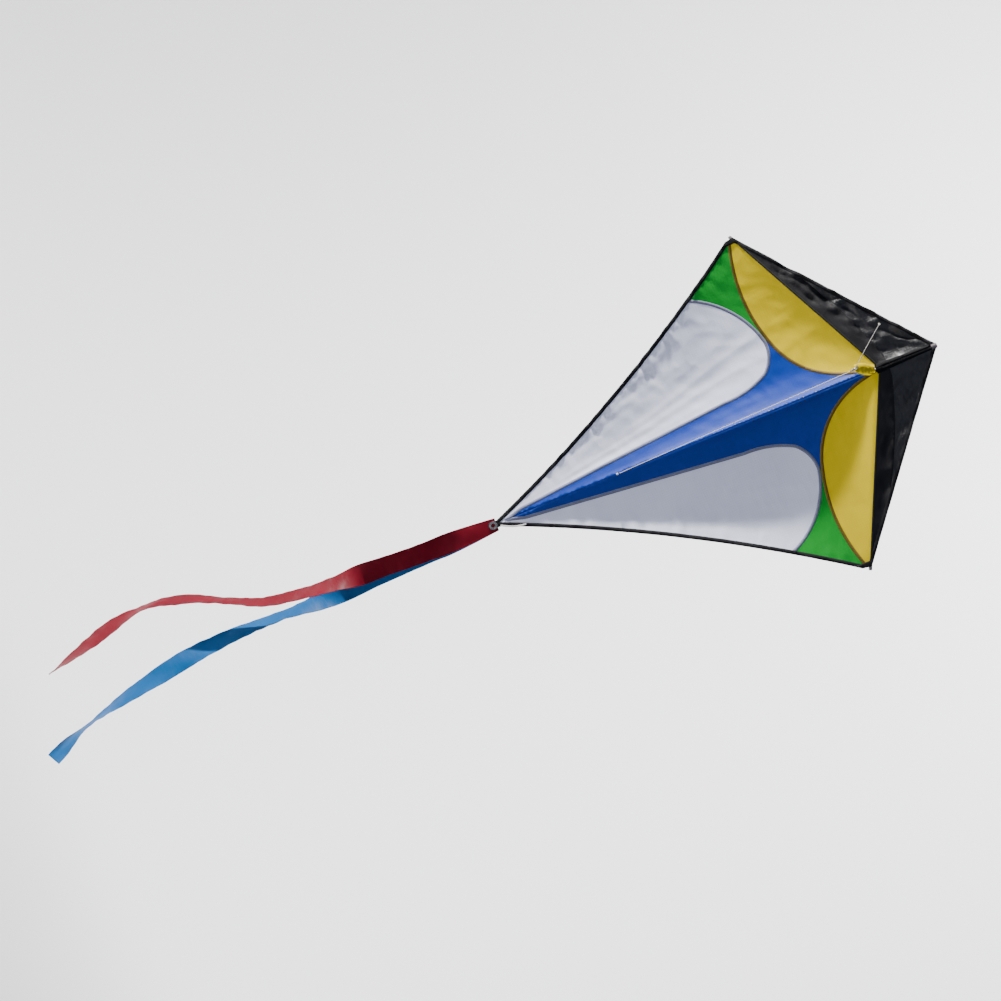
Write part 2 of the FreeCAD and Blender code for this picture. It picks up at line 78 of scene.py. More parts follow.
# cloth
GRID = 0.0055
HALF_CLOTH = 0.00016
TAPE_WIDTH, HALF_TAPE, HALF_PATCH = 0.008, 0.0010, 0.0014
SEAM_HALF_WIDTH, HEM_HALF_WIDTH = 0.0034, 0.0022
PATCH_EDGE = HALF_SPAN - 0.019
SAIL_FRONT, BILLOW, NOSE_BILLOW = 0.0058, 0.047, 0.013
RIBBON_WIDTH = 0.044
HEM_TURN = math.radians(28.8)

# for the left wing, -1, and the right one, 1: how uneven the loose cloth is, and how far from
# the trailing edge the billow fades in
UNEVEN = {-1: 1.0, 1: 0.55}
NOSE_UNEVEN = {-1: 1.0, 1: 0.45}
EDGE_REACH = {-1: 0.130, 1: 0.100}

# heights of the ripples in the cloth below the spar, and above it
LONG_WAVE, RAY_CREASE, HEM_PUCKER, CROSS_CREASE = 0.0014, 0.0006, 0.0036, 0.0004
NOSE_CREASE, NOSE_WAVE = 0.0042, 0.0016

# the spine's covering: its radius at the tail, over the hub and above it, and at the nose
TAIL_RADIUS, HUB_RADIUS, NECK_RADIUS, NOSE_RADIUS = 0.0045, 0.0080, 0.0090, 0.0055
SLEEVE_FOOT, HUB_FOOT, HUB_HEAD, SLEEVE_HEAD = 0.026, 0.846, 0.896, 0.984
HUB_SWELL, SWELL_FOOT, SWELL_HEAD = 0.0012, 0.832, 0.910
SPAR_SLEEVE_RADIUS = 0.0044
RIDGE_FOOT, RIDGE_HEAD = (0.0095, 0.862), (0.0052, SAIL_HEAD)

# the routes of the bridle's cords and of the elastic, as in the CAD: (x, y, z)
LOWER_LEG = [(0, 0.1372, -0.513), (0, 0.071, -0.260), (0, 0.0065, -0.0072)]
LEADER = [(0, -0.0097, 0.0006), (-0.018, -0.128, 0.021), (-0.035, -0.248, 0.044)]
ELASTIC = [(0.007, 0.1421, -0.782), (0.015, 0.1426, -0.768), (0.022, 0.1431, -0.750),
           (0.024, 0.1433, -0.732)]
CORD, ELASTIC_WIDTH = 0.0012, 0.0032


# ---------------------------------------------------------------- camera, stage and lights

def aim(thing, place, target, roll=0.0):
    """Put a camera or light at a place, turned to a target and rolled about its line of sight."""
    sight = Vector(target) - Vector(place)
    turn = sight.to_track_quat("-Z", "Y")
    thing.location = place
    thing.rotation_mode = "QUATERNION"
    thing.rotation_quaternion = Quaternion(turn @ Vector((0, 0, 1)), roll) @ turn
    return thing


def add_object(name, data):
    thing = bpy.data.objects.new(name, data)
    bpy.context.scene.collection.objects.link(thing)
    return thing


def make_camera():
    azimuth, elevation, roll = math.radians(6.87), math.radians(-1.81), math.radians(67.868)
    distance, lens, shift_across, shift_up = 7.0, 121.47, 0.35124, 0.09765
    back = Vector((math.sin(azimuth) * math.cos(elevation),
                   -math.cos(azimuth) * math.cos(elevation), math.sin(elevation)))
    right = (-back).cross(Vector((0, 0, 1))).normalized()
    lift = right.cross(-back)
    across = math.cos(roll) * right + math.sin(roll) * lift
    upward = math.cos(roll) * lift - math.sin(roll) * right
    middle = Vector((0, SPINE_Y, -0.4))
    target = middle - shift_across * across - shift_up * upward
    data = bpy.data.cameras.new("camera")
    data.lens = lens
    camera = aim(add_object("camera", data), target + distance * back, target, roll)
    bpy.context.scene.camera = camera


def soft_light(name, place, target, size, power, colour):
    data = bpy.data.lights.new(name, "AREA")
    data.shape = "DISK"
    data.size = size
    data.energy = power
    data.color = colour
    aim(add_object(name, data), place, target)


def make_stage():
    """A pale floor that curves up into a pale wall, well clear of the kite."""
    floor_up, wall_y, wall_top, front_y, half_width = -2.3, 8.0, 11.0, -14.0, 14.0
    bend, steps = 3.0, 12
    profile = [(front_y, 0.0), (wall_y - bend, 0.0)]
    for step in range(1, steps + 1):
        angle = math.pi / 2 * step / steps
        profile.append((wall_y - bend + bend * math.sin(angle), bend - bend * math.cos(angle)))
    profile.append((wall_y, wall_top))
    points = [(x, y, floor_up + z) for y, z in profile for x in (-half_width, half_width)]
    faces = [(2 * i, 2 * i + 1, 2 * i + 3, 2 * i + 2) for i in range(len(profile) - 1)]
    mesh = bpy.data.meshes.new("studio")
    mesh.from_pydata(points, [], faces)
    mesh.shade_smooth()
    studio = add_object("studio", mesh)
    mesh.materials.append(plain("studio_paint", (0.94, 0.94, 0.94), 0.9))


def make_lights():
    """A low key from the flier's left that grazes the sail, and dim light from all round."""
    middle = (0, SPINE_Y, -0.45)
    soft_light("key", (-4.6, -0.68, 0.8), middle, size=0.25, power=800,
               colour=(1.0, 0.97, 0.93))
    soft_light("fill", (2.0, -5.5, 1.2), middle, size=4.0, power=25, colour=(0.80, 0.87, 1.0))
    soft_light("top", (0.0, -0.5, 4.5), middle, size=3.0, power=15, colour=(1.0, 1.0, 1.0))
    soft_light("backdrop", (0.0, 4.2, 3.4), (0.0, 8.0, 0.2), size=3.0, power=700,
               colour=(1.0, 1.0, 1.0))
    world = bpy.data.worlds.new("room")
    world.use_nodes = True
    sky = world.node_tree.nodes["Background"].inputs
    sky["Color"].default_value = (0.66, 0.75, 1.0, 1)
    sky["Strength"].default_value = 0.26
    bpy.context.scene.world = world


# ---------------------------------------------------------------- materials

def put(tree, kind, links=None, **settings):
    """Add a shader node. Its links give each input a value, or the socket that feeds it."""
    node = tree.nodes.new("ShaderNode" + kind)
    for name, setting in settings.items():
        setattr(node, name, setting)
    for key, source in (links or {}).items():
        if isinstance(source, bpy.types.NodeSocket):
            tree.links.new(source, node.inputs[key])
        else:
            node.inputs[key].default_value = source
    return node


def maths(tree, operation, *values):
    """A sum, product or other function of values or sockets."""
    return put(tree, "Math", dict(enumerate(values)), operation=operation).outputs[0]


def coordinates(tree, kind):
    """The UV or object coordinates, whole and as three numbers."""
    spot = put(tree, "TexCoord").outputs[kind]
    return spot, put(tree, "SeparateXYZ", {0: spot}).outputs


def noise_map(tree, spot, scale, detail, **more):
    """Procedural noise at a scale, as one number."""
    links = {"Vector": spot, "Scale": scale, "Detail": detail, **more}
    return put(tree, "TexNoise", links).outputs[0]


def add_bumps(tree, shader, *layers):
    """Bumps on top of each other: each layer is (height, strength, distance)."""
    links = {}
    for height, strength, distance in layers:
        links.update(Height=height, Strength=strength, Distance=distance)
        links["Normal"] = put(tree, "Bump", links).outputs[0]
    tree.links.new(links["Normal"], shader.inputs["Normal"])


def mixed(tree, factor, first, second):
    """A colour between two others."""
    return put(tree, "Mix", {0: factor, 6: first, 7: second}, data_type="RGBA").outputs[2]


def linear(colour, factor=1.0):
    """A screen colour, 0 to 255, as light."""
    shades = [(c / 255 / 12.92 if c <= 10 else ((c / 255 + 0.055) / 1.055) ** 2.4)
              for c in colour]
    return tuple(min(s * factor, 1.0) for s in shades) + (1.0,)


def blank_material(name, roughness, **sockets):
    material = bpy.data.materials.new(name)
    material.use_nodes = True
    shader = material.node_tree.nodes["Principled BSDF"]
    shader.inputs["Roughness"].default_value = roughness
    for socket, setting in sockets.items():
        shader.inputs[socket.replace("_", " ")].default_value = setting
    return material, material.node_tree, shader


def plain(name, shade, roughness):
    """Studio paint: almost even, with a faint tooth."""
    material, tree, shader = blank_material(name, roughness)
    grain = put(tree, "TexNoise", {"Scale": 3.0, "Detail": 2.0}).outputs[0]
    darker = tuple(0.985 * s for s in shade) + (1.0,)
    tree.links.new(mixed(tree, grain, darker, tuple(shade) + (1.0,)),
                   shader.inputs["Base Color"])
    return material


def cloth(name, colour, sheen=0.04, roughness=0.5, crumple=0.5, shade=0.82, gloss=0.25):
    """Ripstop nylon: a fine weave with a thicker thread every few millimetres, and crumples."""
    square, thread_width = 0.005, 0.00028
    material, tree, shader = blank_material(
        name, roughness, Sheen_Weight=sheen, Sheen_Roughness=0.35, Specular_IOR_Level=gloss)
    flat, parts = coordinates(tree, "UV")
    threads = []
    for axis in (0, 1):
        wave = maths(tree, "PINGPONG", parts[axis], square / 2)
        threads.append(maths(tree, "LESS_THAN", wave, thread_width))
    ripstop = maths(tree, "MAXIMUM", *threads)
    weave = noise_map(tree, flat, 1400.0, 1.0)
    cloudy = noise_map(tree, flat, 7.0, 4.0)
    turned = put(tree, "Mapping", {"Vector": flat, "Rotation": (0, 0, HEM_TURN),
                                   "Scale": (0.4, 1.0, 1.0)}).outputs[0]
    folds = noise_map(tree, turned, 30.0, 4.0, Roughness=0.5, Distortion=0.35)
    creases = noise_map(tree, turned, 85.0, 3.0, Distortion=0.3)
    tone = mixed(tree, cloudy, linear(colour, shade), linear(colour, 1.08))
    tone = mixed(tree, maths(tree, "MULTIPLY", ripstop, 0.16), tone, linear(colour, 0.45))
    tree.links.new(tone, shader.inputs["Base Color"])
    tree.links.new(maths(tree, "MULTIPLY_ADD", cloudy, 0.14, roughness - 0.07),
                   shader.inputs["Roughness"])
    add_bumps(tree, shader, (folds, crumple, 0.006), (creases, crumple * 0.7, 0.0016),
              (ripstop, 0.5, 0.00012), (weave, 0.25, 0.00005))
    return material


def satin(name, colour, shade):
    """Thin ribbon cloth: fine ribs along it and soft cross creases."""
    material, tree, shader = blank_material(name, 0.5, Specular_IOR_Level=0.15)
    flat, parts = coordinates(tree, "UV")
    ribs = maths(tree, "SINE", maths(tree, "MULTIPLY", parts[0], 6000.0))
    squeezed = put(tree, "Mapping", {"Vector": flat, "Scale": (0.35, 1.0, 1.0)}).outputs[0]
    creases = noise_map(tree, squeezed, 45.0, 4.0, Distortion=0.6)
    cloudy = noise_map(tree, squeezed, 12.0, 3.0)
    tree.links.new(mixed(tree, cloudy, linear(colour, shade), linear(colour, 1.25)),
                   shader.inputs["Base Color"])
    add_bumps(tree, shader, (creases, 0.45, 0.003), (ribs, 0.2, 0.00005))
    return material


def webbing(name, colour, ribs=2200.0):
    """Narrow woven tape with ribs across it."""
    material, tree, shader = blank_material(name, 0.8, Sheen_Weight=0.04, Specular_IOR_Level=0.2)
    spot, parts = coordinates(tree, "Object")
    slant = maths(tree, "ADD", parts[0], parts[2])
    rib = maths(tree, "SINE", maths(tree, "MULTIPLY", slant, ribs))
    fuzz = noise_map(tree, spot, 900.0, 2.0)
    wear = noise_map(tree, spot, 30.0, 3.0)
    tree.links.new(mixed(tree, wear, linear(colour, 0.7), linear(colour, 1.3)),
                   shader.inputs["Base Color"])
    add_bumps(tree, shader, (rib, 0.5, 0.0002), (fuzz, 0.35, 0.0002))
    return material


def twine(name, colour):
    """Twisted or braided cord: slanting strands on its surface."""
    material, tree, shader = blank_material(name, 0.6, Sheen_Weight=0.2)
    spot = put(tree, "TexCoord").outputs["Object"]
    strands = put(tree, "TexWave", {"Vector": spot, "Scale": 260.0, "Distortion": 1.5},
                  bands_direction="DIAGONAL").outputs[1]
    tree.links.new(mixed(tree, strands, linear(colour, 0.72), linear(colour, 1.05)),
                   shader.inputs["Base Color"])
    add_bumps(tree, shader, (strands, 0.5, 0.0002))
    return material


def moulded(name, colour, roughness, metallic=0.0, grain=220.0, coat=0.0):
    """Moulded plastic, drawn rod or plated metal: faint mottling, scuffs and a fine texture."""
    speckle = 0.12
    material, tree, shader = blank_material(
        name, roughness, Metallic=metallic, Coat_Weight=coat)
    spot = put(tree, "TexCoord").outputs["Object"]
    mottle = noise_map(tree, spot, grain, 4.0)
    scuff = noise_map(tree, spot, 38.0, 5.0, Distortion=2.0)
    tree.links.new(mixed(tree, scuff, linear(colour, 1 - speckle), linear(colour, 1 + speckle)),
                   shader.inputs["Base Color"])
    tree.links.new(maths(tree, "MULTIPLY_ADD", mottle, 0.2, roughness - 0.1),
                   shader.inputs["Roughness"])
    add_bumps(tree, shader, (mottle, 0.2, 0.0003))
    return material


# ---------------------------------------------------------------- outlines in the sail's plane

def arc(start, end, radius):
    """Points on an arc that bulges to the left of its travel."""
    a, b = np.array(start, float), np.array(end, float)
    chord = b - a
    span = np.linalg.norm(chord)
    left = np.array((-chord[1], chord[0])) / span
    depth = math.sqrt(radius * radius - span * span / 4)
    centre = (a + b) / 2 - left * depth
    first = math.atan2(*(a - centre)[::-1])
    sweep = -2 * math.asin(span / 2 / radius)
    count = max(2, int(abs(sweep) * radius / GRID) + 1)
    angles = first + sweep * np.linspace(0, 1, count + 1)
    return centre + radius * np.stack((np.cos(angles), np.sin(angles)), axis=1)


def divide(points):
    """A run of straight lines, divided into even steps of about the net's size."""
    points = np.array(points, float)
    made = [points[:1]]
    for a, b in zip(points, points[1:]):
        count = max(1, round(np.linalg.norm(b - a) / GRID))
        made.append(a + (b - a) * np.linspace(0, 1, count + 1)[1:, None])
    return np.concatenate(made)


def chain(*runs):
    """Several runs end to end as one, without repeated points."""
    points = np.concatenate(runs)
    steps = np.linalg.norm(np.diff(points, axis=0), axis=1)
    return points[np.concatenate(([True], steps > 1e-5))]


def inside(points, outline):
    """Which points lie inside a closed outline."""
    x, y = points[:, 0], points[:, 1]
    hit = np.zeros(len(points), bool)
    for (ax, ay), (bx, by) in zip(outline, np.roll(outline, -1, axis=0)):
        crosses = (ay > y) != (by > y)
        if ay != by:
            hit ^= crosses & (x < (bx - ax) * (y - ay) / (by - ay) + ax)
    return hit


def distance(points, line):
    """How far each point is from a run of straight lines."""
    best = np.full(len(points), 9.0)
    for a, b in zip(line, line[1:]):
        along = b - a
        share = np.clip((points - a) @ along / (along @ along), 0, 1)
        best = np.minimum(best, np.linalg.norm(points - a - share[:, None] * along, axis=1))
    return best


def beside(line, offset):
    """A run of lines shifted sideways, to the left of its travel."""
    along = np.gradient(line, axis=0)
    along /= np.linalg.norm(along, axis=1)[:, None]
    return line + offset * np.stack((-along[:, 1], along[:, 0]), axis=1)


TRAILING_RADIUS = ((HALF_SPAN ** 2 + TIP_UP ** 2) / 4 + TRAILING_SAG ** 2) / (2 * TRAILING_SAG)
TRAILING = arc((0, 0), TIP, TRAILING_RADIUS)
TRAILING = TRAILING[(TRAILING[:, 1] > SAIL_FOOT + 0.0015) & (TRAILING[:, 0] < SAIL_END)]
TRAILING_WAY = np.array(TIP) / np.hypot(*TIP)
TRAILING_CENTRE = (np.array(TIP) / 2 - np.array((-TRAILING_WAY[1], TRAILING_WAY[0]))
                   * (TRAILING_RADIUS - TRAILING_SAG))
LEADING = divide([(out, SPINE_LENGTH - out * NOSE_SLOPE) for out in (SAIL_END, HEAD_HALF)])
SAIL = chain([(0, SAIL_FOOT), (TRAILING[0, 0] - 0.001, SAIL_FOOT)], TRAILING, LEADING,
             [(HEAD_HALF, SAIL_HEAD), (0, SAIL_HEAD)],
             divide([(0, SAIL_HEAD), (0, SAIL_FOOT)])[1:-1])

YELLOW_SEAM = chain(arc(TIP, JOINT, 0.360), arc(JOINT, SEAM, 0.188),
                    divide([SEAM, (0.0063, 0.840), HUB]))
WHITE_SEAM = chain(divide([(0.0, 0.036), WHITE_FOOT, WHITE_SHOULDER]),
                   arc(WHITE_SHOULDER, WHITE_BEND, 0.208), arc(WHITE_BEND, WHITE_TOP, 0.075),
                   arc(WHITE_TOP, WHITE_SIDE, 0.189))
GREEN_SEAM = divide([WHITE_TOP, JOINT])
SPAR_LINE = divide([TIP, HUB])


def band_edge(share):
    """The curved upper edge of the spar's band of cloth, from the tip at 0 to the spine at 1."""
    width = 0.004 + 0.1122 * share - 0.0922 * share ** 2
    lean = math.atan(HUB_SLOPE)
    return (HALF_SPAN * (1 - share) + width * math.sin(lean),
            TIP_UP + (HUB_UP - TIP_UP) * share + width * math.cos(lean))


BAND = np.array([band_edge(share) for share in np.linspace(0.012, 0.965, 66)])
BAND = chain([TIP], BAND, [(0.0, BAND[-1, 1] + 0.001)])


# ---------------------------------------------------------------- the sail's surface

def share_of(up, low, high):
    """How far a height is from low to high, from 0 to 1."""
    return min(1.0, max(0.0, (up - low) / (high - low)))


def sleeve_radius(up):
    """How far the spine's covering stands out from its axis. It swells over the hub."""
    swell = HUB_SWELL * math.sin(math.pi * share_of(up, SWELL_FOOT, SWELL_HEAD))
    if up < HUB_FOOT:
        growth = share_of(up, SLEEVE_FOOT, HUB_FOOT)
        return TAIL_RADIUS + (HUB_RADIUS - TAIL_RADIUS) * growth + swell
    if up < HUB_HEAD:
        return HUB_RADIUS + swell
    taper = share_of(up, HUB_HEAD, SLEEVE_HEAD)
    return NECK_RADIUS - (NECK_RADIUS - NOSE_RADIUS) * taper + swell


def fade(depth, reach):
    """0 at the edge that holds the cloth, and near 1 well away from it."""
    return 1 - math.exp(-max(depth, 0.0) / reach)


def ruffle(a, b, seed):
    """Smooth noise from about -1 to 1."""
    return 1.9 * noise.noise(Vector((a, b, seed)))


def crease(a, b, seed):
    """Noise with sharp ridges, as where stiff cloth buckles."""
    return 1 - 2.4 * abs(ruffle(a, b, seed))


def body_cloth(side, out, up, free):
    """The billow and the ripples of the cloth below the spar."""
    edge = math.hypot(out - TRAILING_CENTRE[0], up - TRAILING_CENTRE[1]) - TRAILING_RADIUS
    billow = (BILLOW * fade(out, 0.060) * fade(free, 0.070)
              * (0.12 + 0.88 * fade(edge, EDGE_REACH[side])))
    along, turn = math.hypot(out, up), math.atan2(out, up)
    ripple = LONG_WAVE * ruffle(out / 0.10, up / 0.15, 3.0 + side)
    uneven = RAY_CREASE * crease(turn * 16, along / 0.30, 7.0 + side)
    uneven += (HEM_PUCKER * math.exp(-max(edge, 0) / 0.026)
               * ruffle(along / 0.018, edge / 0.10, 11.0 + side))
    uneven += CROSS_CREASE * crease((out + up) / 0.05, (up - out) / 0.08, 5.0 + side)
    return billow, ripple + UNEVEN[side] * uneven


def nose_cloth(side, out, up, free):
    """The billow and the ripples of the stiff black cloth above the spar."""
    edge = (SPINE_LENGTH - up - out * NOSE_SLOPE) * math.cos(math.atan(NOSE_SLOPE))
    billow = NOSE_BILLOW * fade(out, 0.060) * fade(free, 0.040) * (0.5 + 0.5 * fade(edge, 0.030))
    ripple = NOSE_CREASE * crease(out / 0.050, (up + out * 0.8) / 0.030, 21.0 + side)
    ripple += NOSE_WAVE * ruffle(out / 0.024, up / 0.024, 23.0 + side)
    return billow, NOSE_UNEVEN[side] * ripple


def sail_front(side, out, up):
    """How far the sail stands in front of the spine's axis, before the wing leans back."""
    below = (HUB_UP - up - out * HUB_SLOPE) * math.cos(math.atan(HUB_SLOPE))
    spar_shift = EYE_OFFSET * (1 - out / HALF_SPAN) if below * side > 0 else 0.0
    free = max(0.0, abs(below) - spar_shift - 0.002)
    from_tip = math.hypot(out - TIP[0], up - TIP[1])
    loose = fade(out - 0.004, 0.018) * fade(free, 0.012) * fade(from_tip, 0.05)
    loose *= fade(up - 0.055, 0.05)
    billow, ripple = (body_cloth if below > 0 else nose_cloth)(side, out, up, free)
    hanging = SAIL_FRONT - billow + ripple * loose
    radius = sleeve_radius(up) + 0.0007
    cover = math.sqrt(radius ** 2 - out ** 2) if out < radius else 2 * (radius - out)
    return (hanging + cover + math.hypot(hanging - cover, 0.0012)) / 2


def to_row(side, out, up, front):
    """A point of the sail in the row frame."""
    return Vector((side * (out * math.cos(DIHEDRAL) + front * math.sin(DIHEDRAL)),
                   SPINE_Y + out * math.sin(DIHEDRAL) - front * math.cos(DIHEDRAL),
                   BOTTOM_Z + up))


# ---------------------------------------------------------------- meshes

def mesh_piece(name, points, faces, material, flat=None):
    """A smooth mesh piece, with its place on the flat cloth as its UV map."""
    mesh = bpy.data.meshes.new(name)
    mesh.from_pydata([tuple(p) for p in points], [], [tuple(f) for f in faces])
    mesh.validate()
    if flat is not None:
        layer = mesh.uv_layers.new(name="UVMap")
        for loop, spot in zip(mesh.loops, layer.data):
            spot.uv = flat[loop.vertex_index]
    mesh.shade_smooth()
    mesh.materials.append(material)
    return add_object(name, mesh)


def tube_faces(rings, count, first=0, capped=True):
    """The faces of a tube whose rings of points follow each other, with a face on each end."""
    faces = []
    for ring in range(rings - 1):
        for step in range(count):
            a = first + ring * count + step
            b = first + ring * count + (step + 1) % count
            faces.append((a, b, b + count, a + count))
    if capped:
        last = first + (rings - 1) * count
        faces.append(tuple(range(first, first + count))[::-1])
        faces.append(tuple(range(last, last + count)))
    return faces


def circle(count):
    """The cosine and sine of even steps round a circle."""
    angles = [2 * math.pi * step / count for step in range(count)]
    return [(math.cos(angle), math.sin(angle)) for angle in angles]


def rigid(piece, body, slot, *nodes):
    """A piece that moves with one body and stands for the given nodes."""
    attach(piece, body)
    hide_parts(*nodes)


def guide_runs():
    """The lines that the net's edges follow, cut to the parts that lie in the sail."""
    lines = [YELLOW_SEAM, WHITE_SEAM, GREEN_SEAM, SPAR_LINE, BAND]
    lines += [beside(seam, side * SEAM_HALF_WIDTH)
              for seam in (YELLOW_SEAM, WHITE_SEAM) for side in (-1, 1)]
    lines += [beside(edge, TAPE_WIDTH) for edge in (TRAILING, LEADING)]
    lines.append(divide([RIDGE_FOOT, RIDGE_HEAD]))
    lines += [beside(SPAR_LINE, side * HEM_HALF_WIDTH) for side in (-1, 1)]
    lines.append(divide([(PATCH_EDGE, TIP_UP - 0.06), (PATCH_EDGE, TIP_UP + 0.03)]))
    closed = np.vstack((SAIL, SAIL[:1]))
    runs = []
    for line in lines:
        keep = inside(line, SAIL) | (distance(line, closed) < 1e-4)
        start = 0
        for number in range(len(line) + 1):
            if number == len(line) or not keep[number]:
                if number - start > 1:
                    runs.append(line[start:number])
                start = number + 1
    return runs


def filling(fixed):
    """Even rows of points inside the sail, clear of the points that are already fixed."""
    row_height = GRID * 0.866  # even triangles
    spots = []
    for row in range(int(SPINE_LENGTH / row_height) + 1):
        for column in range(int(HALF_SPAN / GRID) + 1):
            spots.append(((column + 0.5 * (row % 2)) * GRID, row * row_height))
    spots = np.array(spots)
    spots = spots[inside(spots, SAIL)]
    clear = np.ones(len(spots), bool)
    for some in np.array_split(fixed, 40):
        gaps = np.linalg.norm(spots[:, None] - some[None], axis=2).min(axis=1)
        clear &= gaps > 0.55 * GRID
    return spots[clear]


class HalfSail:
    """One wing's cloth as a single net of triangles, from which each piece takes its own."""

    def __init__(self, side):
        self.side = side
        points = [tuple(p) for p in SAIL]
        edges = [(i, (i + 1) % len(SAIL)) for i in range(len(SAIL))]
        for run in guide_runs():
            first = len(points)
            points += [tuple(p) for p in run]
            edges += [(first + i, first + i + 1) for i in range(len(run) - 1)]
        points += [tuple(p) for p in filling(np.array(points))]
        net = delaunay_2d_cdt([Vector(p) for p in points], edges, [], 1, 1e-6)
        self.flat = np.array([tuple(p) for p in net[0]])
        self.faces = np.array([f for f in net[2] if len(f) == 3])
        self.middles = self.flat[self.faces].mean(axis=1)
        keep = inside(self.middles, SAIL)
        self.faces, self.middles = self.faces[keep], self.middles[keep]
        self.points = np.array([to_row(side, out, up, sail_front(side, out, up))
                                for out, up in self.flat])
        a, b, c = (self.points[self.faces[:, i]] for i in range(3))
        across = np.cross(b - a, c - a) * side
        self.normals = np.zeros_like(self.points)
        for corner in range(3):
            np.add.at(self.normals, self.faces[:, corner], across)
        lengths = np.linalg.norm(self.normals, axis=1)
        self.normals /= np.maximum(lengths, 1e-12)[:, None]

    def piece(self, name, chosen, front, back, material):
        """A closed layer over the chosen triangles, between two distances in front of the sail."""
        faces = self.faces[chosen]
        used, packed = np.unique(faces, return_inverse=True)
        faces = packed.reshape(-1, 3)
        if self.side < 0:
            faces = faces[:, ::-1]
        count = len(used)
        points = np.concatenate((self.points[used] + front * self.normals[used],
                                 self.points[used] + back * self.normals[used]))
        edges = [(a, b) for face in faces for a, b in zip(face, np.roll(face, -1))]
        shared = set(edges)
        rims = [(b, a, a + count, b + count) for a, b in edges if (b, a) not in shared]
        everything = [tuple(f) for f in faces] + [tuple(f[::-1] + count) for f in faces] + rims
        flat = self.flat[used] + (1 + self.side, 0)
        return mesh_piece(name, points, everything, material, np.concatenate((flat, flat)))


def sewn(piece, wing, slot, *nodes):
    """Cloth that is sewn to the spine on its inner side and to a wing on the rest: its place is
    baked into its mesh and it stands for the given nodes, but it is not attached to either body.
    """
    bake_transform(piece)
    if nodes:
        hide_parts(*nodes)


def along_line(line, spacing):
    """Points at even steps along a run, with the direction of travel at each."""
    steps = np.linalg.norm(np.diff(line, axis=0), axis=1)
    total = np.concatenate(([0], np.cumsum(steps)))
    spots = np.arange(spacing / 2, total[-1], spacing)
    points = np.stack([np.interp(spots, total, line[:, i]) for i in (0, 1)], axis=1)
    ways = np.gradient(points, axis=0)
    return points, ways / np.linalg.norm(ways, axis=1)[:, None]


def zigzag(side, line):
    """A zigzag row of stitches on the sail's front, as points in the row frame."""
    width, step = 0.0045, 0.0030
    spots, ways = along_line(line, step)
    made = []
    for number, (spot, way) in enumerate(zip(spots, ways)):
        swing = width / 2 * (1 if number % 2 else -1)
        out, up = spot[0] - way[1] * swing, spot[1] + way[0] * swing
        if out > 0.002:
            made.append(to_row(side, out, up, sail_front(side, out, up) + 0.0006))
    return made


def thread(name, rows, radius, material):
    """Thin three-sided threads through rows of points, as one mesh."""
    points, faces = [], []
    for row in rows:
        faces += tube_faces(len(row), 3, len(points))
        for number, spot in enumerate(row):
            way = (row[min(number + 1, len(row) - 1)] - row[max(number - 1, 0)]).normalized()
            side = way.cross(Vector((0, -1, 0))).normalized()
            lift = side.cross(way)
            points += [spot + radius * (c * side + s * lift) for c, s in circle(3)]
    return mesh_piece(name, points, faces, material)


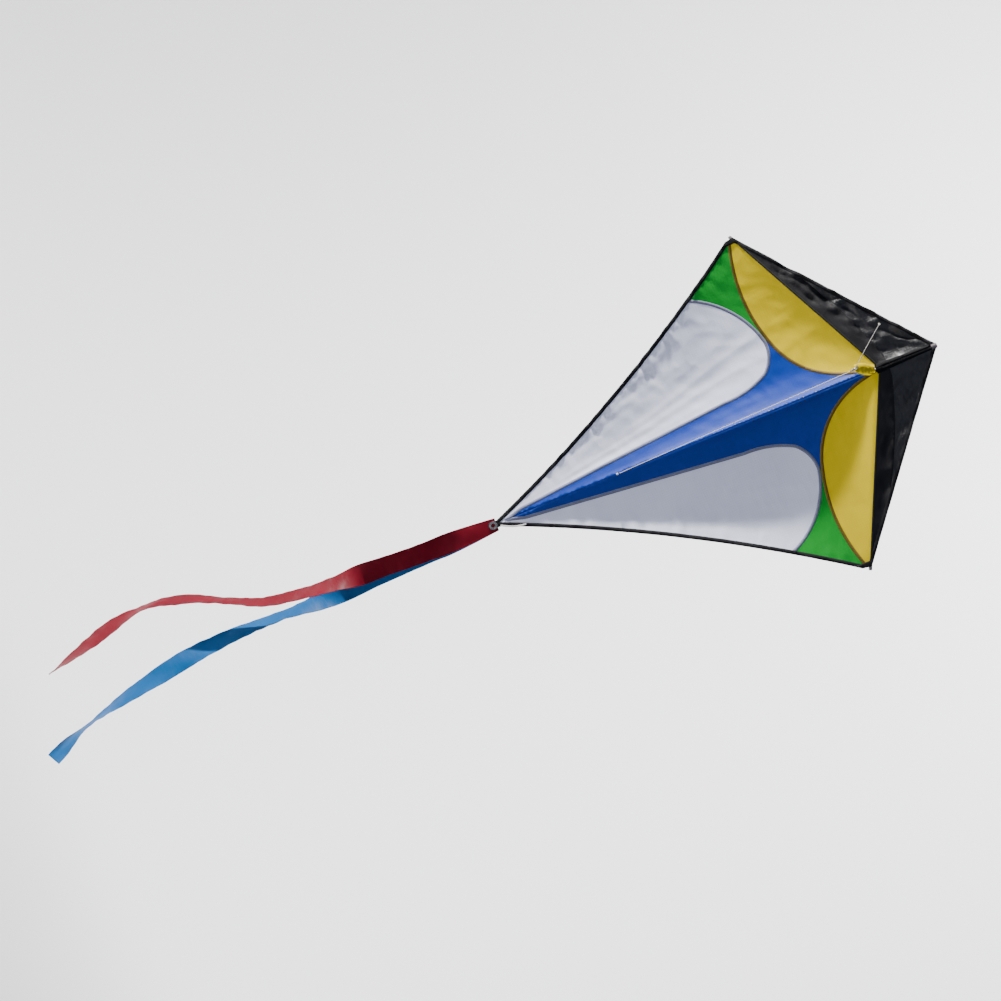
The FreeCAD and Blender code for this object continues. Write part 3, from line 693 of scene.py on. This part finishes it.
def make_wing(wing, side, finish):
    """The sail of one wing: five panels, their seams, tapes, bands, patch and stitches."""
    sail = HalfSail(side)
    middles = sail.middles
    white_side = TRAILING[::-1][TRAILING[::-1][:, 1] < WHITE_SIDE[1]]
    in_white = inside(middles, chain(WHITE_SEAM, white_side, [(0.0, SAIL_FOOT)]))
    nose = middles[:, 1] > HUB_UP - middles[:, 0] * HUB_SLOPE
    low = inside(middles, chain(YELLOW_SEAM, [(0, 0), (0.5, 0.0), (0.5, TIP_UP)]))
    # green is outside a steep line through the joint of the seams
    outer = middles[:, 0] > JOINT[0] - 0.25 * (JOINT[1] - middles[:, 1])
    green = low & ~in_white & outer & (middles[:, 0] > WHITE_TOP[0] - 0.0005)
    panels = {"blue": low & ~in_white & ~green, "white": low & in_white, "green": green,
              "yellow": ~nose & ~low, "nose": nose}
    for colour, chosen in panels.items():
        slot = "ripstop_black" if colour == "nose" else f"ripstop_{colour}"
        panel = sail.piece(f"sail_{colour}_{wing}", chosen, HALF_CLOTH, -HALF_CLOTH,
                           finish[slot])
        sewn(panel, wing, slot, f"panel_{colour}_{wing}")

    above_band = inside(middles, chain(BAND, [(0, 1.1), (0.5, 1.1)]))
    ridge = inside(middles, np.array([(-1, RIDGE_FOOT[1]), RIDGE_FOOT, RIDGE_HEAD,
                                      (-1, RIDGE_HEAD[1])]))
    # each cover: name, triangles, front and back distance from the sail, paint and slot
    covers = [
        ("seam_yellow", distance(middles, YELLOW_SEAM) < SEAM_HALF_WIDTH, 0.00040, -0.00040,
         "seam_yellow", "ripstop_yellow"),
        ("seam_white", distance(middles, WHITE_SEAM) < SEAM_HALF_WIDTH, 0.00045, -0.00045,
         "seam_white", "ripstop_white"),
        ("seam_green", distance(middles, GREEN_SEAM) < SEAM_HALF_WIDTH, 0.00035, -0.00035,
         "seam_green", "ripstop_green"),
        ("spar_hem", distance(middles, SPAR_LINE) < HEM_HALF_WIDTH, 0.00085, -0.00050,
         "hem_black", "ripstop_black"),
        ("spar_band", nose & ~above_band, 0.00050, 0.00018, "band_black", "ripstop_black"),
        ("spine_ridge", ridge, 0.00090, 0.00018, "ridge_black", "ripstop_black"),
    ]
    for label, chosen, front, back, paint, slot in covers:
        if chosen.any():
            cover = sail.piece(f"{label}_{wing}", chosen, front, back, finish[paint])
            sewn(cover, wing, slot, *(["hub_cover"] if label == "spine_ridge" else []))
    for label, line in (("leading", LEADING), ("trailing", TRAILING)):
        tape = sail.piece(f"tape_{label}_{wing}", distance(middles, line) < TAPE_WIDTH,
                          HALF_TAPE, -HALF_TAPE, finish["binding_black"])
        sewn(tape, wing, "binding_black", f"binding_{label}_{wing}")
    patch = sail.piece(f"corner_patch_{wing}", middles[:, 0] > PATCH_EDGE, HALF_PATCH,
                       -HALF_PATCH, finish["patch_black"])
    sewn(patch, wing, "binding_black", f"tip_patch_{wing}")

    # the stitches start clear of the tip and of the tail
    rows = [zigzag(side, line) for line in (YELLOW_SEAM[4:], WHITE_SEAM[2:])]
    sewn(thread(f"stitches_{wing}", rows, 0.00026, finish["thread"]), wing, "binding_black")


# ---------------------------------------------------------------- sleeves and caps

def lathe(name, profile, base, axis, material):
    """A turned piece: profile is (distance along the axis, radius) from one end to the other."""
    count = 28
    turn = Vector(axis).to_track_quat("Z", "X")
    points = [Vector(base) + turn @ Vector((radius * c, radius * s, along))
              for along, radius in profile for c, s in circle(count)]
    return mesh_piece(name, points, tube_faces(len(profile), count), material)


def cap_profile(length, radius):
    """A vinyl end cap: a rolled lip, a slight taper and a rounded closed end."""
    lip = radius + 0.00024
    made = [(0.0, radius - 0.0012), (0.0, radius), (0.0006, lip), (0.0016, lip),
            (0.0024, radius - 0.0002), (length * 0.55, radius - 0.0003)]
    for step in range(7):
        angle = math.pi / 2 * step / 6
        made.append((length - radius * 0.6 * (1 - math.sin(angle)),
                     (radius - 0.0005) * (0.45 + 0.55 * math.cos(angle))))
    return made


def spar_axis(side):
    """The ends of a spar's axis, at its socket eye and at the wing tip."""
    return (to_row(side, 0, HUB_UP - side * EYE_OFFSET, 0),
            to_row(side, HALF_SPAN, TIP_UP, 0))


def cloth_tube(name, stations, material, seed):
    """A sewn sleeve round a rod: stations are (centre, radius), and its cloth is uneven."""
    count, points, flat = 26, [], []
    way = (stations[-1][0] - stations[0][0]).normalized()
    across = way.cross(Vector((0, -1, 0))).normalized()
    lift = across.cross(way)
    run = 0.0
    before = stations[0][0]
    for centre, radius in stations:
        run += (centre - before).length
        before = centre
        for step, (c, s) in enumerate(circle(count)):
            slack = 1 + 0.05 * ruffle(3 * c + seed, run / 0.03, 3 * s)
            points.append(centre + (c * across + s * lift) * radius * slack)
            flat.append((radius * 2 * math.pi * step / count, run))
    faces = tube_faces(len(stations), count, capped=False)
    # the open ends turn inwards to a narrower rim
    top, base = (len(stations) - 1) * count, len(points)
    for first, centre in ((0, stations[0][0]), (top, stations[-1][0])):
        for index in range(first, first + count):
            points.append(centre + (points[index] - centre) * 0.86)
            flat.append(flat[index])
    for step in range(count):
        after = (step + 1) % count
        faces.append((after, step, base + step, base + after))
        faces.append((top + step, top + after, base + count + after, base + count + step))
    return mesh_piece(name, points, faces, material, flat)


def make_sleeves(finish):
    """The sleeves that hold the spine and spars against the sail's back."""
    for end, low, high in (("tail", 0.0405, 0.8455), ("nose", 0.8965, 0.9835)):
        count = int((high - low) / 0.008) + 1
        stations = []
        for i in range(count + 1):
            up = low + (high - low) * i / count
            stations.append((Vector((0, SPINE_Y, BOTTOM_Z + up)), sleeve_radius(up) - 0.0004))
        sleeve = cloth_tube(f"sleeve_of_spine_{end}", stations, finish["ripstop_black"], 2.0)
        rigid(sleeve, "root", "ripstop_black", f"spine_sleeve_{end}")
    for wing, side in SIDES:
        start, end = spar_axis(side)
        way = (end - start).normalized()
        low, high = 0.0605, (end - start).length - 0.0205
        count = int((high - low) / 0.007)
        stations = [(start + way * (low + (high - low) * i / count), SPAR_SLEEVE_RADIUS)
                    for i in range(count + 1)]
        sleeve = cloth_tube(f"sleeve_of_spar_{wing}", stations, finish["ripstop_black"],
                            5.0 + side)
        rigid(sleeve, f"wing_{wing}", "ripstop_black", f"spar_sleeve_{wing}")


def make_caps(finish):
    """Soft vinyl caps on the ends of the spine and spars."""
    nose = (0, SPINE_Y, BOTTOM_Z + SPINE_LENGTH - 0.016)
    tail = (0, SPINE_Y, BOTTOM_Z + 0.040)
    # each cap: name, node, body, its open end, the way it points, length and radius
    jobs = [("cap_nose", "nose_cap", "root", nose, (0, 0, 1), 0.016, 0.0068),
            ("cap_tail", "tail_cap", "root", tail, (0, 0, -1), 0.026, 0.0043)]
    for wing, side in SIDES:
        start, end = spar_axis(side)
        way = (end - start).normalized()
        jobs.append((f"cap_tip_{wing}", f"tip_cap_{wing}", f"wing_{wing}", end - way * 0.020,
                     way, 0.020, 0.0043))
    for name, node, body, base, axis, length, radius in jobs:
        cap = lathe(name, cap_profile(length, radius), base, axis, finish["vinyl_cap"])
        rigid(cap, body, "vinyl_cap", node)


# ---------------------------------------------------------------- bridle

def cord(name, route, material, thickness=CORD):
    """A cord along a smooth line whose control points are the route's."""
    curve = bpy.data.curves.new(name, "CURVE")
    curve.dimensions = "3D"
    curve.bevel_depth = thickness / 2
    curve.bevel_resolution = 3
    curve.resolution_u = 24
    spline = curve.splines.new("NURBS")
    spline.points.add(len(route) - 1)
    for point, spot in zip(spline.points, route):
        point.co = (*spot, 1)
    spline.order_u = 3
    spline.use_endpoint_u = True
    curve.materials.append(material)
    return add_object(name, curve)


def knot(name, middle, radius, way, material):
    """An overhand knot: a short fat coil of cord on itself."""
    turns, steps, ring = 2.6, 60, 8
    way = Vector(way).normalized()
    across = way.orthogonal().normalized()
    lift = way.cross(across)
    path = []
    for step in range(steps + 1):
        share = step / steps
        angle = 2 * math.pi * turns * share
        reach = radius * (0.62 + 0.22 * math.sin(math.pi * share))
        path.append(Vector(middle) + way * radius * 1.3 * (share - 0.5)
                    + reach * (math.cos(angle) * across + math.sin(angle) * lift))
    points = []
    for step, spot in enumerate(path):
        ahead = (path[min(step + 1, steps)] - path[max(step - 1, 0)]).normalized()
        side = ahead.cross(way).normalized()
        top = side.cross(ahead)
        points += [spot + radius * 0.42 * (c * side + s * top) for c, s in circle(ring)]
    return mesh_piece(name, points, tube_faces(steps + 1, ring), material)


def make_strap(finish):
    """The folded strap from the hub to the ring: gathered at both ends, open in the middle."""
    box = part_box("tow_strap")
    start = Vector((0, box[0].y, 0.0037))
    end = Vector((0, box[1].y, box[1].z - 0.0005))
    sideways = Vector((1, 0, 0))
    lift = sideways.cross((end - start).normalized()).normalized()
    rings, count, length, edge_gap = 40, 28, 0.15, 0.04
    points, flat = [], []
    for ring in range(rings + 1):
        share = ring / rings
        swell = math.sin(math.pi * (0.14 + 0.80 * share)) ** 0.8
        half = 0.0025 + 0.0125 * swell
        thick = 0.0007 + 0.0022 * swell
        for step, (c, s) in enumerate(circle(count)):
            pucker = 0.0007 * ruffle(4 * c, share * 9, 31.0)
            fold = 0.0012 * math.cos(3 * 2 * math.pi * step / count) * swell
            points.append(start.lerp(end, share) + half * c * sideways
                          + (thick * s + pucker + fold) * lift)
            flat.append((half * c + (edge_gap if s > 0 else 0), share * length))
    strap = mesh_piece("strap_cloth", points, tube_faces(rings + 1, count),
                       finish["ripstop_yellow"], flat)
    rigid(strap, "bridle", "ripstop_yellow", "tow_strap")


def make_bridle(finish):
    """The lower leg, the strap, and the flying line's end with its knot."""
    leg = cord("bridle_leg", LOWER_LEG, finish["line_white"])
    rigid(leg, "bridle", "line_white", "bridle_lower_leg")
    leader = cord("flying_line_leader", LEADER, finish["line_white"])
    rigid(leader, "bridle", "line_white", "leader_line")
    way = Vector(LEADER[-1]) - Vector(LEADER[-2])
    end_knot = knot("leader_end_knot", LEADER[-1], 0.0019, way, finish["line_white"])
    rigid(end_knot, "bridle", "line_white", "leader_knot")
    make_strap(finish)


# ---------------------------------------------------------------- tail

# Each ribbon's line is (metres to the flier's right of its top, down from it, behind it). Its
# turns are (millimetres down, degrees turned from facing the flier). The phase and seed set its
# waves, and a pointed ribbon narrows to a point at its end.
RED = {"phase": 5.49, "seed": 47.1, "pointed": True,
       "line": [(0.000, -0.012, 0.000), (-0.001, 0.072, -0.001), (-0.002, 0.162, -0.007),
                (-0.006, 0.252, -0.014), (-0.009, 0.332, -0.020), (-0.016, 0.412, -0.024),
                (-0.030, 0.492, -0.024), (-0.062, 0.562, -0.014), (-0.098, 0.637, 0.002),
                (-0.117, 0.712, 0.012), (-0.113, 0.782, 0.014), (-0.090, 0.862, 0.006),
                (-0.060, 0.960, -0.008)],
       "turns": [(0, 30), (120, 32), (255, 34), (330, -40), (395, -52), (470, -55),
                 (573, -69), (656, -55), (738, -74), (790, -49), (834, -41), (890, -58),
                 (961, -80)]}
BLUE = {"phase": 6.57, "seed": 48.3, "pointed": False,
        "line": [(0.000, -0.012, 0.000), (0.001, 0.082, 0.005), (0.003, 0.182, 0.009),
                 (0.006, 0.292, 0.015), (0.008, 0.392, 0.019), (0.005, 0.482, 0.018),
                 (0.006, 0.572, 0.002), (0.014, 0.662, -0.012), (0.028, 0.747, -0.014),
                 (0.044, 0.832, -0.006), (0.060, 0.902, 0.000), (0.080, 0.962, 0.000),
                 (0.106, 1.015, -0.006)],
        "turns": [(0, 30), (120, 32), (290, 34), (400, -40), (462, -61), (536, -52),
                  (652, -31), (721, -20), (813, -45), (865, -61), (896, -73), (929, -76),
                  (958, -61), (990, -41)]}


def smooth_line(knots, count):
    """Points along a smooth curve through a few knots, with even steps along the knots."""
    knots = [Vector(k) for k in knots]
    ends = [2 * knots[0] - knots[1]] + knots + [2 * knots[-1] - knots[-2]]
    made = []
    for step in range(count + 1):
        share = step / count * (len(knots) - 1)
        index = min(int(share), len(knots) - 2)
        t = share - index
        a, b, c, d = ends[index:index + 4]
        made.append(0.5 * (2 * b + (c - a) * t + (2 * a - 5 * b + 4 * c - d) * t * t
                           + (3 * b - a - 3 * c + d) * t ** 3))
    return made


def sheet_faces(rows, width):
    """The faces of a closed layer: a front and a back grid of points, and the rim between."""
    size, faces = rows * width, []
    for row in range(rows - 1):
        first = row * width
        for a in range(first, first + width - 1):
            faces.append((a, a + 1, a + 1 + width, a + width))
            faces.append((size + a, size + a + width, size + a + 1 + width, size + a + 1))
        a, b = first, first + width - 1
        faces.append((a, a + width, size + a + width, size + a))
        faces.append((size + b, size + b + width, b + width, b))
    for a in range(width - 1):
        faces.append((size + a, size + a + 1, a + 1, a))
    for a in range((rows - 1) * width, rows * width - 1):
        faces.append((a, a + 1, size + a + 1, size + a))
    return faces


def make_ribbon(colour, shape, finish):
    """A hemmed streamer that hangs from the eyelet, turning as it goes down."""
    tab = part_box(f"tail_{colour}_tab")
    top = Vector((0, (tab[0].y + tab[1].y) / 2, BOTTOM_Z))
    path = [top + Vector((x, y, -down)) for x, down, y in smooth_line(shape["line"], 300)]
    down = np.array([BOTTOM_Z - spot.z for spot in path]) * 1000
    turns = np.interp(down, *np.array(shape["turns"]).T)
    # each turn is the mean of its neighbours, so that the ribbon twists smoothly
    turns = np.convolve(np.pad(turns, 9, mode="edge"), np.ones(19) / 19, "valid")
    inner = (0.2, 0.45, 0.7, 0.88, 0.965, 1)
    columns = [-column for column in inner[::-1]] + [0] + list(inner)
    front, back, flat = [], [], []
    run = 0.0
    for number, spot in enumerate(path):
        before, after = path[max(number - 1, 0)], path[min(number + 1, len(path) - 1)]
        way = (after - before).normalized()
        run += (spot - before).length
        turn = -math.radians(turns[number]) * min(1.0, max(0.0, run - 0.070) / 0.08)
        flatly = Vector((0, 1, 0)).cross(way).normalized()
        across = math.cos(turn) * flatly + math.sin(turn) * way.cross(flatly)
        facing = across.cross(way)
        half = RIBBON_WIDTH / 2 * (0.62 + 0.38 * math.sin(math.pi / 2 * min(1.0, run / 0.15)))
        if shape["pointed"]:
            half *= min(1.0, 0.12 + max(0.0, spot.z - path[-1].z) / 0.045)
        loose = min(1.0, run / 0.05)
        for column in columns:
            thick = 0.00043 if abs(column) > 0.93 else 0.00018
            cup = 0.0016 * (1 - column ** 2) * math.sin(run * 46 + shape["phase"])
            flutter = (0.0009 * ruffle(run / 0.018, column * 1.1, shape["seed"])
                       * abs(column) * loose)
            place = spot + across * half * column + facing * (cup + flutter) * loose
            front.append(place + facing * thick)
            back.append(place - facing * thick)
            flat.append((half * column, run))
    piece = mesh_piece(f"ribbon_{colour}", front + back, sheet_faces(len(path), len(columns)),
                       finish[f"ribbon_{colour}"], flat + flat)
    rigid(piece, f"tail_{colour}", f"ribbon_{colour}", f"tail_{colour}", f"tail_{colour}_tab")


def make_elastic(finish):
    """The elastic from the bottom cap to the right wing's tape."""
    elastic = cord("edge_elastic", ELASTIC, finish["elastic_white"], ELASTIC_WIDTH)
    rigid(elastic, "wing_right", "elastic_white", "tail_elastic")


# ---------------------------------------------------------------- build

make_camera()
make_stage()
make_lights()

FINISH = {
    "ripstop_blue": cloth("ripstop_blue", (10, 52, 150), sheen=0.0, crumple=0.12, gloss=0.15),
    "ripstop_white": cloth("ripstop_white", (224, 228, 250), sheen=0.0, crumple=0.22, shade=0.94),
    "ripstop_green": cloth("ripstop_green", (0, 140, 40), sheen=0.0, crumple=0.3, gloss=0.15),
    "ripstop_yellow": cloth("ripstop_yellow", (216, 190, 0), sheen=0.0, crumple=0.2, gloss=0.1),
    "ripstop_black": cloth("ripstop_black", (8, 9, 15), sheen=0.15, roughness=0.36,
                           crumple=1.0, shade=0.6, gloss=0.5),
    "band_black": cloth("band_black", (8, 8, 14), roughness=0.6, crumple=0.3),
    "ridge_black": cloth("ridge_black", (7, 7, 12), sheen=0.0, roughness=0.7, crumple=0.4,
                         gloss=0.1),
    "hem_black": cloth("hem_black", (22, 20, 22), sheen=0.1, roughness=0.5, crumple=0.4),
    "seam_yellow": cloth("seam_yellow", (110, 88, 8), roughness=0.6, crumple=0.5),
    "seam_white": cloth("seam_white", (120, 124, 150), roughness=0.6, crumple=0.6),
    "seam_green": cloth("seam_green", (6, 80, 70), roughness=0.6, crumple=0.5),
    "binding_black": webbing("binding_black", (5, 5, 12)),
    "patch_black": webbing("patch_black", (7, 7, 12), 1500.0),
    "thread": twine("thread", (92, 84, 78)),
    "line_white": twine("line_white", (226, 220, 206)),
    "elastic_white": twine("elastic_white", (232, 230, 226)),
    "vinyl_cap": moulded("vinyl_cap", (112, 104, 108), 0.45, coat=0.2),
    "hub_plastic": moulded("hub_plastic", (26, 26, 28), 0.5),
    "rod": moulded("rod", (36, 36, 38), 0.35, coat=0.3, grain=900.0),
    "ferrule": moulded("ferrule", (168, 168, 172), 0.3, metallic=1.0),
    "eyelet_nickel": moulded("eyelet_nickel", (198, 192, 184), 0.25, metallic=1.0),
    "ring_steel": moulded("ring_steel", (186, 186, 188), 0.22, metallic=1.0),
    "webbing_black": webbing("webbing_black", (24, 24, 30)),
    "ribbon_red": satin("ribbon_red", (100, 0, 22), 0.8),
    "ribbon_blue": satin("ribbon_blue", (0, 76, 132), 0.85),
}

# the nodes that stay as they are in the CAD take the finish of their slot
slot_of = {part["node"]: part["material_slot"] for part in frame["record"]["subparts"]}
for node_name, thing in frame["nodes"].items():
    if slot_of.get(node_name) in FINISH and thing.material_slots:
        thing.material_slots[0].material = FINISH[slot_of[node_name]]

for wing_name, wing_side in SIDES:
    make_wing(wing_name, wing_side, FINISH)
make_sleeves(FINISH)
make_caps(FINISH)
make_bridle(FINISH)
make_ribbon("red", RED, FINISH)
make_ribbon("blue", BLUE, FINISH)
make_elastic(FINISH)
